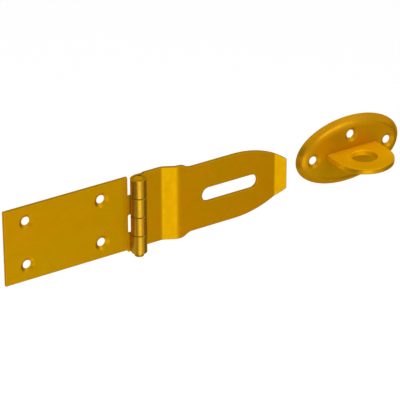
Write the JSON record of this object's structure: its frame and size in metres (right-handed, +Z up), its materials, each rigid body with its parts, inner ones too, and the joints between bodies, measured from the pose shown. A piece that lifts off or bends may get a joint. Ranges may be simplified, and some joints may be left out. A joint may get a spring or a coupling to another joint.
{
  "type": "locking hasp",
  "caption": "Hinged locking hasp with a slotted, raised strap on a pinned barrel hinge, and a separate oval staple whose eye passes through the slot for a padlock.",
  "frame": {"origin": "centre of the leaf's four screw holes, on the wall plane", "axes": "+X along the hasp from the leaf to the staple, +Z up the hinge pin, -Y out of the wall"},
  "size_m": [0.2635, 0.0342, 0.0487],
  "materials": {
    "plated_steel": "yellow passivated zinc plate, satin to glossy"
  },
  "bodies": {
    "fixed": {"hinge_leaf": "plated_steel", "hinge_pin": "plated_steel", "staple_base": "plated_steel", "staple_eye": "plated_steel"},
    "strap": {"hasp_strap": "plated_steel"}
  },
  "joints": [
    {"name": "strap_hinge", "type": "hinge", "parent": "fixed", "child": "strap", "pos_m": [0.0454, -0.00455, 0], "axis": [0, 0, -1], "range_deg": [0, 180]}
  ]
}
